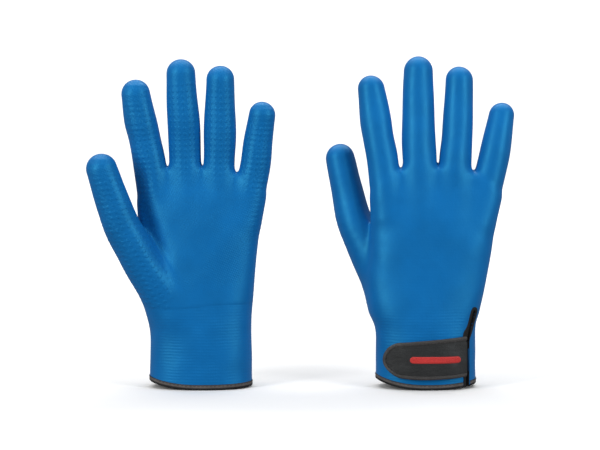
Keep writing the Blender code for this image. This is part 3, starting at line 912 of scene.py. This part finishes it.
class GLOVES_OT_coats(bpy.types.Operator):
    """Make the dipped nitrile coat of each glove"""

    bl_idname = "gloves.coats"
    bl_label = "Nitrile Coats"

    def execute(self, context):
        sizes = context.scene.glove_sizes
        for hand in prepare_hands():
            points, quads = layer(hand, -sizes.coat_wall / MM, sizes.skin_step / MM)
            shape = {"attributes": digit_attribute(hand, points), "thickness": sizes.coat_wall / MM}
            add_piece(hand, "coat_skin", "nitrile_coat", points, quads, "nitrile", **shape)
        return {"FINISHED"}


class GLOVES_OT_grip_coats(bpy.types.Operator):
    """Make the embossed second dip over each palm and the fingers"""

    bl_idname = "gloves.grip_coats"
    bl_label = "Grip Coats"

    def execute(self, context):
        sizes = context.scene.glove_sizes
        start, rise, step = sizes.grip_start / MM, sizes.grip_height / MM, sizes.skin_step / MM
        for hand in prepare_hands():
            axes, field = hand_grid(hand, step)

            def raised(x, p, z, hand=hand):
                inside = grip_border(hand, np.column_stack([x, p, z]), start)
                ridges = 0.12 * np.sin(z * math.tau / 3.9) * smooth_step(np.abs(x), 34, 44)
                return (rise - 0.1) * smooth_step(inside, 0, 6) + 0.35 + ridges * smooth_step(inside, 2, 6)

            near = np.abs(field) < 3
            field[near] -= raised(*(axis[near] for axis in np.meshgrid(*axes, indexing="ij")))
            points, quads = net_of(axes, field)
            points = settle(points, lambda *q: hand_field(hand, *q) - raised(*q))
            points, quads = kept(points, quads, grip_border(hand, points, start) > -0.6)
            shape = {"attributes": digit_attribute(hand, points), "thickness": GRIP_WALL}
            add_piece(hand, "grip_skin", "grip_coat", points, quads, "grip_nitrile", **shape)
        return {"FINISHED"}


class GLOVES_OT_linings(bpy.types.Operator):
    """Make the knitted carrier and the brushed thermal lining inside each coat"""

    bl_idname = "gloves.linings"
    bl_label = "Linings"

    def execute(self, context):
        sizes = context.scene.glove_sizes
        layers = (
            ("knit_carrier", "knit_layer", KNIT_INSET, sizes.knit_wall, "knit"),
            ("thermal_liner", "pile_layer", THERMAL_INSET, sizes.thermal_wall, "thermal_pile"),
        )
        for hand in prepare_hands():
            for node, name, inset, wall, look in layers:
                points, quads = layer(hand, inset, sizes.lining_step / MM)
                add_piece(hand, name, node, points, quads, look, thickness=wall / MM)
        return {"FINISHED"}


def tape_attribute(count, profile, spacing):
    """Millimetres along the tape and across it, for each point of a sweep."""
    steps = np.linalg.norm(np.diff(profile, axis=0, append=profile[:1]), axis=1)
    across = np.concatenate([[0], np.cumsum(steps)[:-1]])
    along = np.arange(count) * spacing
    return np.stack(
        [np.repeat(along, len(profile)), np.tile(across, count), np.zeros(count * len(profile))], axis=1
    )


class GLOVES_OT_hems(bpy.types.Operator):
    """Make the folded tape round each cuff's edge, and its stitching"""

    bl_idname = "gloves.hems"
    bl_label = "Hem Bindings"

    def execute(self, context):
        for hand in prepare_hands():
            points, normals, along = cuff_outline(hand)
            slit = np.argmin(np.linalg.norm(points - over_cuff(hand, SLIT_X, 0, 0)[0][:2], axis=1))
            clear = round(3.4 / OUTLINE_STEP)  # the tape stops that far from the slit
            order = np.roll(np.arange(len(points) - 1), -slit)[clear:-clear]
            ring, out = flat_3d(points[order]), flat_3d(normals[order])
            up = np.tile([0.0, 0.0, 1.0], (len(order), 1))
            pucker = 0.10 * np.sin(along[order] / 1.9) + 0.08 * np.sin(along[order] / 0.83)
            profile = rounded(
                [
                    (HEM_HEIGHT, 0.35), (HEM_HEIGHT, TAPE_OUT), (0, TAPE_OUT), (0, -TAPE_IN),
                    (HEM_HEIGHT, -TAPE_IN), (HEM_HEIGHT, -TAPE_LIP), (1.2, -TAPE_LIP), (1.2, 0.35),
                ],
                [0.3, 0.4, 1.1, 1.1, 0.4, 0.3, 0.2, 0.2], 5,
            )
            swept, faces = sweep(ring + out * pucker[:, None], up, out, profile)
            tape = {"tape": tape_attribute(len(order), profile, OUTLINE_STEP)}
            add_piece(hand, "hem_tape", "hem_binding", swept, faces, "binding_tape", attributes=tape)
            seam = ring + out * (TAPE_OUT + 0.12 + pucker[:, None]) + up * (HEM_HEIGHT - 1.1)
            stitched = stitches(seam, out, pitch=3.4, length=2.5, radius=0.2)
            add_piece(hand, "hem_thread", "hem_stitching", *stitched, "thread")
        return {"FINISHED"}


class GLOVES_OT_slits(bpy.types.Operator):
    """Make the tape that binds each wrist slit"""

    bl_idname = "gloves.slits"
    bl_label = "Slit Bindings"

    def execute(self, context):
        for hand in prepare_hands():
            half = 1.25  # from the slit's centreline to the tape's fold
            turn = np.linspace(math.pi, 0, 15)
            lean = math.atan2(SLIT_TOP_X - SLIT_X, SLIT_TOP_Z - SLIT_BEND)
            arch_x = SLIT_TOP_X + half * np.cos(turn - lean)
            arch_z = SLIT_TOP_Z + half * np.sin(turn - lean)
            x = np.concatenate([[SLIT_X - half] * 2, arch_x, [SLIT_X + half] * 2])
            z = np.concatenate([[0.5, SLIT_BEND], arch_z, [SLIT_BEND, 0.5]])
            flat, _ = evenly(np.column_stack([x, z]), SLIT_STEP)
            for _ in range(10):  # ease the bend in the slit
                flat[1:-1] = flat[1:-1] * 0.5 + (flat[:-2] + flat[2:]) * 0.25
            points, out = on_back(hand, flat[:, 0], flat[:, 1])
            along = unit(np.gradient(points, axis=0))
            away = unit(np.cross(along, out))
            centre = np.interp(flat[:, 1], [0, SLIT_BEND, SLIT_TOP_Z], [SLIT_X, SLIT_X, SLIT_TOP_X])
            away = away * np.sign(np.sum(away[:3, 0] * (flat[:3, 0] - centre[:3])))  # away from the slit
            # The tape is narrow on the flap beside the strap, and wide on the hand's side over its corner.
            flap = np.arange(len(flat)) > len(flat) / 2
            narrow = 0.75 * flap * (1 - smooth_step(flat[:, 1], SLIT_BEND - 2, SLIT_BEND + 12))
            wide = 0.9 * ~flap * np.exp(-(((flat[:, 1] - SLIT_BEND - 4.5) / 4.5) ** 2))
            away = away * (1 - narrow + wide)[:, None]
            profile = rounded(
                [
                    (2.3, 0.35), (2.3, 1.15), (-0.5, 1.15), (-0.5, -4.75),
                    (2.3, -4.75), (2.3, -TAPE_LIP), (0.35, -TAPE_LIP), (0.35, 0.35),
                ],
                [0.25, 0.35, 0.8, 0.8, 0.35, 0.25, 0.15, 0.15], 5,
            )
            swept, faces = sweep(points, away, out, profile)
            shape = {"attributes": {"tape": tape_attribute(len(points), profile, SLIT_STEP)}}
            shape["slot"] = "binding_tape"
            add_piece(hand, "slit_tape", "slit_binding", swept, faces, "slit_tape", **shape)
        return {"FINISHED"}


def strap_edges(x, inset):
    """The strap's lower and upper edges at each x: straight from the root, then the round end's circle."""
    tip_x, tip_z = STRAP_TIP
    reach = np.sqrt(np.maximum((STRAP_TIP_RADIUS - inset) ** 2 - np.minimum(x - tip_x, 0) ** 2, 0))
    edges = []
    for root, way in zip(STRAP_ROOT, (-1, 1)):
        slope = (tip_z + way * STRAP_TIP_RADIUS - root) / (tip_x - HINGE_X)
        edges.append(np.where(x > tip_x, root - way * inset + (x - HINGE_X) * slope, tip_z + way * reach))
    return edges


def strap_columns(inset, root, count):
    """x from the strap's tip to its root, crowding at the tip as 1 - cos."""
    tip = STRAP_TIP[0] - STRAP_TIP_RADIUS + inset
    return tip + (root - tip) * (1 - np.cos(np.linspace(0, math.pi / 2, count)))


def strap_grid(inset, root, columns=90, rows=28):
    """x and z over the strap: z runs from the lower edge to the upper one at each x."""
    x = strap_columns(inset, root, columns)
    x[0] += 1e-3  # the end column keeps a little height
    lower, upper = strap_edges(x, inset)
    v = np.linspace(0, 1, rows)[:, None]
    return np.broadcast_to(x, (rows, columns)), lower + (upper - lower) * v


def strap_rim(inset, root, spacing=0.7):
    """The strap's edge from the root's upper corner round the tip to the lower one, as even points x, z."""
    x = strap_columns(inset, root, 160)
    lower, upper = strap_edges(x, inset)
    rim = np.concatenate([np.column_stack([x, upper])[::-1], np.column_stack([x, lower])[1:]])
    return evenly(rim, spacing)[0]


def strap_height(x, z):
    """How far the strap's middle layer lies off the cuff: its lift with two soft waves."""
    return STRAP_LIFT + 0.25 * np.sin((x + 8) / 9.0) * np.sin(z / 8.0) + 0.15 * np.sin(x / 4.1 + z / 6.3)


def strap_slab(hand, x, z, low, high):
    """A sheet over the strap's x and z, between two heights off its middle layer."""
    return slab(*(over_cuff(hand, x, z, strap_height(x, z) + height)[0] for height in (high, low)))


class GLOVES_OT_straps(bpy.types.Operator):
    """Make each wrist strap: leather, rolled edge, stitching, plain embroidered bar and fastening"""

    bl_idname = "gloves.straps"
    bl_label = "Wrist Straps"

    def execute(self, context):
        for hand in prepare_hands():
            self.panel(hand, context.scene.glove_sizes.strap_wall / MM)
            self.edge(hand)
            self.emblem(hand)
            self.fastening(hand)
            self.anchor(hand)
        return {"FINISHED"}

    def panel(self, hand, wall):
        """The leather, crowned by 0.35 (1 - (2s - 1)^4) where s goes from its lower edge to its upper one."""
        x, z = strap_grid(STRAP_INSET, HINGE_X)
        lower, upper = strap_edges(x, STRAP_INSET)
        share = np.clip((z - lower) / np.maximum(upper - lower, 1e-6), 0, 1)
        crown = 0.35 * (1 - (2 * share - 1) ** 4)
        sheet = strap_slab(hand, x, z, -wall / 2, wall / 2 + crown)
        add_piece(hand, "strap_panel", "strap", *sheet, "strap_leather", body="closure")

    def edge(self, hand):
        """The rolled edge, and the stitches inside it."""
        rim = strap_rim(STRAP_INSET, HINGE_X)
        height = strap_height(rim[:, 0], rim[:, 1])
        path, out = over_cuff(hand, rim[:, 0], rim[:, 1], height)
        along = unit(np.gradient(path, axis=0))
        away = unit(np.cross(along, out))
        away = away * np.sign(np.sum(away[:5, 2] * (rim[:5, 1] - STRAP_TIP[1])))  # from the strap's middle
        profile = rounded(
            [
                (-1.9, 0.72), (-1.9, 1.25), (0.2, 1.5), (1.15, 0.9), (1.15, -0.9), (0.2, -1.25),
                (-1.9, -1.15), (-1.9, -0.72), (0.12, -0.72), (0.12, 0.72),
            ],
            [0.2, 0.25, 0.7, 0.5, 0.5, 0.6, 0.25, 0.2, 0.1, 0.1], 4,
        )
        piping = sweep(path, away, out, profile)
        add_piece(hand, "strap_piping", "strap_binding", *piping, "strap_piping", "closure", "binding_tape")
        rim = strap_rim(2.25, HINGE_X - 2.5)
        height = strap_height(rim[:, 0], rim[:, 1]) + 1.33
        path, out = over_cuff(hand, rim[:, 0], rim[:, 1], height)
        stitched = stitches(path, out, pitch=3.0, length=2.2, radius=0.2)
        add_piece(hand, "strap_thread", "strap_stitching", *stitched, "thread", body="closure")

    def emblem(self, hand):
        """A bar of satin stitch with round ends: height 0.95 + 0.5 (1 - v^6) plus a ridge for each thread."""
        x, across = np.meshgrid(np.linspace(EMBLEM_LEFT, EMBLEM_RIGHT, 560), np.linspace(-1, 1, 15))
        ends = np.minimum(np.minimum(x - EMBLEM_LEFT, EMBLEM_RIGHT - x) / EMBLEM_HALF, 1)
        half = EMBLEM_HALF * np.sqrt(np.maximum(1 - (1 - ends) ** 2, 0.02))
        z = EMBLEM_HEIGHT + across * half
        thread = 0.05 * np.abs(np.sin((x + across * 0.5) * math.pi / 0.55))
        bar = strap_slab(hand, x, z, 0.75, 0.95 + 0.5 * (1 - across**6) * np.sqrt(ends) + thread)
        add_piece(hand, "strap_bar", "strap_emblem", *bar, "red_thread", body="closure")

    def fastening(self, hand):
        """The hook tape under the strap's end, and the loop patch that it closes on."""
        base, faces = strap_slab(hand, *strap_grid(4.0, -3.0, 40, 18), -1.25, -0.8)
        hooks, hook_faces = self.hooks(hand)
        faces += [[corner + len(base) for corner in face] for face in hook_faces]
        field = np.concatenate([base, hooks])
        add_piece(hand, "hook_field", "hook_tape", field, faces, "hook_and_loop", body="closure")
        u, v = np.meshgrid(np.linspace(LOOP_LEFT, LOOP_RIGHT, 81), np.linspace(LOOP_LOW, LOOP_HIGH, 41))
        curls = 0.22 * np.abs(np.sin(u * 2.1 + np.sin(v * 1.7)) * np.sin(v * 2.3 + np.sin(u * 1.9)))
        edge = np.minimum(np.minimum(u - LOOP_LEFT, LOOP_RIGHT - u), np.minimum(v - LOOP_LOW, LOOP_HIGH - v))
        heights = (1.2 + (curls + 0.25) * smooth_step(edge, 0, 1.2), 0.5)
        loops = slab(*(over_cuff(hand, u, v, height)[0] for height in heights))
        add_piece(hand, "loop_field", "loop_patch", *loops, "hook_and_loop")

    def hooks(self, hand):
        """Small bent pegs in a staggered grid under the strap's end: each leans as its height squared."""
        u, v = np.meshgrid(np.arange(-30.0, -4.5, 1.3), np.arange(14.0, 34.0, 1.3))
        u = u + 0.65 * (np.arange(u.shape[0]) % 2)[:, None]
        lower, upper = strap_edges(u, 5.0)
        held = (v > lower) & (v < upper) & (u > STRAP_TIP[0] - STRAP_TIP_RADIUS + 5.5) & (u < -4)
        u, v = u[held], v[held]
        rings, sides = 4, 5
        rise = np.linspace(0, 1, rings)
        turn = np.linspace(0, math.tau, sides, endpoint=False)
        radius = 0.16 * (1 - 0.4 * rise)
        dx = (radius[:, None] * np.cos(turn) + 0.35 * rise[:, None] ** 2).ravel()
        dz = (radius[:, None] * np.sin(turn)).ravel()
        depth = np.repeat(-1.15 - 0.55 * rise, sides)
        x, z = u[:, None] + dx, v[:, None] + dz
        points, _ = over_cuff(hand, x, z, strap_height(x, z) + depth)
        return points.reshape(-1, 3), tubes(rings, sides, len(u))

    def anchor(self, hand):
        """The strap's root: a band that lies inside the cuff, turns out through the slit and meets the strap.
        Its section is a path of x and p, carried up the slit."""
        side = hand["side"]
        z = np.linspace(11.0, 39.0, 40)
        section = through(
            [
                (35.3, 0.5), (34.9, -3.2), (33.9, -6.5), (32.8, -9.0), (32.3, -11.5), (32.45, -14.0),
                (32.5, -17.0), (32.5, -19.8), (31.9, -21.6), (30.7, -22.4),
            ],
            60,
        )
        tangent = unit(np.gradient(section, axis=0))
        sides = np.column_stack([-tangent[:, 1], tangent[:, 0]]) * 0.45
        up = np.array([0, 0, 1.0]) * z[:, None, None]
        band = slab(*(flat_3d(face)[None] + up for face in (section + sides, section - sides)))
        piece = finished_object(hand, f"{side}_strap_root", *band, "strap_leather")
        hinge = over_cuff(hand, HINGE_X, 20.0, STRAP_LIFT)[0]
        start, end = in_pair_frame(hand, [hinge + (0.5, 0, 0), hinge + (-1.2, 0, 0)])
        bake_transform(piece)
        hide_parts(f"{side}_strap_anchor")


class GLOVES_OT_labels(bpy.types.Operator):
    """Make the plain woven label sewn inside each cuff"""

    bl_idname = "gloves.labels"
    bl_label = "Labels"

    def execute(self, context):
        for hand in prepare_hands():
            u, v = np.meshgrid(np.linspace(-11, 11, 45), np.linspace(7, 25, 37))
            depth = LABEL_DEPTH + 0.12 * np.sin(u / 2.4) * np.sin(v / 3.1)
            # Places on the back of the cuff are mirrored to its palm side.
            grids = [over_cuff(hand, u, v, -d)[0] * (1, -1, 1) for d in (depth, depth + LABEL_WALL)]
            add_piece(hand, "woven_label", "size_label", *slab(*grids), "label")
        return {"FINISHED"}


class GLOVES_OT_stage(bpy.types.Operator):
    """Set the pale floor, the soft lights and the camera"""

    bl_idname = "gloves.stage"
    bl_label = "Stage"

    def execute(self, context):
        stage, scene = context.scene.glove_stage, context.scene
        self.sweep_backdrop(pale_finish("stage_paint", tuple(context.scene.glove_colours.stage)))
        middle = 0.1325  # height of the picture's middle at the gloves
        lens = bpy.data.cameras.new("camera")
        lens.lens = lens.sensor_width * stage.distance / stage.width
        lens.clip_end = 20  # past the wall
        camera = bpy.data.objects.new("camera", lens)
        away = stage.distance
        camera.location = (0, -away * math.cos(stage.elevation), middle + away * math.sin(stage.elevation))
        camera.rotation_euler = (math.pi / 2 - stage.elevation, 0, 0)
        scene.collection.objects.link(camera)
        scene.camera = camera
        for name, place, aim, size, power, tint in (
            ("left_softbox", (-1.25, -1.15, 0.55), (0.0, 0.0, 0.13), (0.5, 1.4), 20.5, (1.0, 0.99, 0.97)),
            ("right_softbox", (1.3, -1.1, 0.55), (0.0, 0.0, 0.13), (0.5, 1.4), 16.5, (0.97, 0.99, 1.0)),
            ("top_softbox", (0.0, -0.1, 1.8), (0.0, 0.1, 0.0), (2.4, 1.2), 16, (1.0, 1.0, 1.0)),
            ("backdrop_wash", (0.0, 1.6, 2.6), (0.0, 3.0, 0.3), (4.0, 1.6), 110, (1.0, 1.0, 1.0)),
        ):
            self.softbox(name, place, aim, size, power, tint)
        world = bpy.data.worlds.new("studio")
        world.use_nodes = True
        sky = world.node_tree.nodes["Background"].inputs
        sky["Color"].default_value, sky["Strength"].default_value = (1, 1, 1, 1), 0.22
        scene.world = world
        scene.view_settings.view_transform = "Standard"
        return {"FINISHED"}

    def softbox(self, name, place, aim, size, power, tint):
        """A rectangular light whose -Z axis points from its place to what it is aimed at."""
        light = bpy.data.lights.new(name, "AREA")
        light.shape, light.size, light.size_y = "RECTANGLE", *size
        light.energy, light.color = power, tint
        lamp = bpy.data.objects.new(name, light)
        lamp.location = place
        x, y, z = (to - start for to, start in zip(aim, place))
        lamp.rotation_euler = (math.atan2(math.hypot(x, y), -z), 0, math.atan2(-x, y))
        bpy.context.scene.collection.objects.link(lamp)

    def sweep_backdrop(self, material):
        """Floor and wall in one: a straight, a quarter circle of radius r and a straight, carried along x."""
        r, wall = 0.8, 3.4
        turn = np.linspace(0, math.pi / 2, 24)
        y = np.concatenate([[-4.0, 0.0], wall - r + r * np.sin(turn), [wall]])
        z = np.concatenate([[0.0, 0.0], r - r * np.cos(turn), [4.0]])
        x = np.linspace(-4, 4, 9)
        grid = np.stack([np.broadcast_to(v, (len(x), len(y))) for v in (x[:, None], y, z)], axis=-1)
        mesh = bpy.data.meshes.new("backdrop")
        mesh.from_pydata(grid.reshape(-1, 3).tolist(), [], grid_quads(len(x), len(y)).tolist())
        mesh.shade_smooth()
        mesh.materials.append(material)
        backdrop = bpy.data.objects.new("backdrop", mesh)
        backdrop.visible_diffuse = backdrop.visible_glossy = False  # its light stays off the gloves
        bpy.context.scene.collection.objects.link(backdrop)


class GLOVES_PT_panel(bpy.types.Panel):
    """Sizes, colours and the steps that make the pair"""

    bl_label = "Gloves"
    bl_idname = "GLOVES_PT_panel"
    bl_space_type = "VIEW_3D"
    bl_region_type = "UI"
    bl_category = "Gloves"

    def draw(self, context):
        for group in ("glove_sizes", "glove_colours", "glove_stage"):
            settings = getattr(context.scene, group)
            box = self.layout.box()
            for name in settings.bl_rna.properties.keys():
                if name not in ("rna_type", "name"):
                    box.prop(settings, name)
        for operator in OPERATORS:
            self.layout.operator(operator.bl_idname)


OPERATORS = (
    GLOVES_OT_coats, GLOVES_OT_grip_coats, GLOVES_OT_linings, GLOVES_OT_hems,
    GLOVES_OT_slits, GLOVES_OT_straps, GLOVES_OT_labels, GLOVES_OT_stage,
)
GROUPS = {"glove_sizes": GloveSizes, "glove_colours": GloveColours, "glove_stage": GloveStage}


def register():
    for cls in (*GROUPS.values(), *OPERATORS, GLOVES_PT_panel):
        bpy.utils.register_class(cls)
    for name, group in GROUPS.items():
        setattr(bpy.types.Scene, name, bpy.props.PointerProperty(type=group))


def unregister():
    for name in GROUPS:
        delattr(bpy.types.Scene, name)
    for cls in reversed((*GROUPS.values(), *OPERATORS, GLOVES_PT_panel)):
        bpy.utils.unregister_class(cls)


def main():
    register()
    for operator in OPERATORS:
        getattr(bpy.ops.gloves, operator.bl_idname.split(".")[1])()


if __name__ == "__main__":
    main()
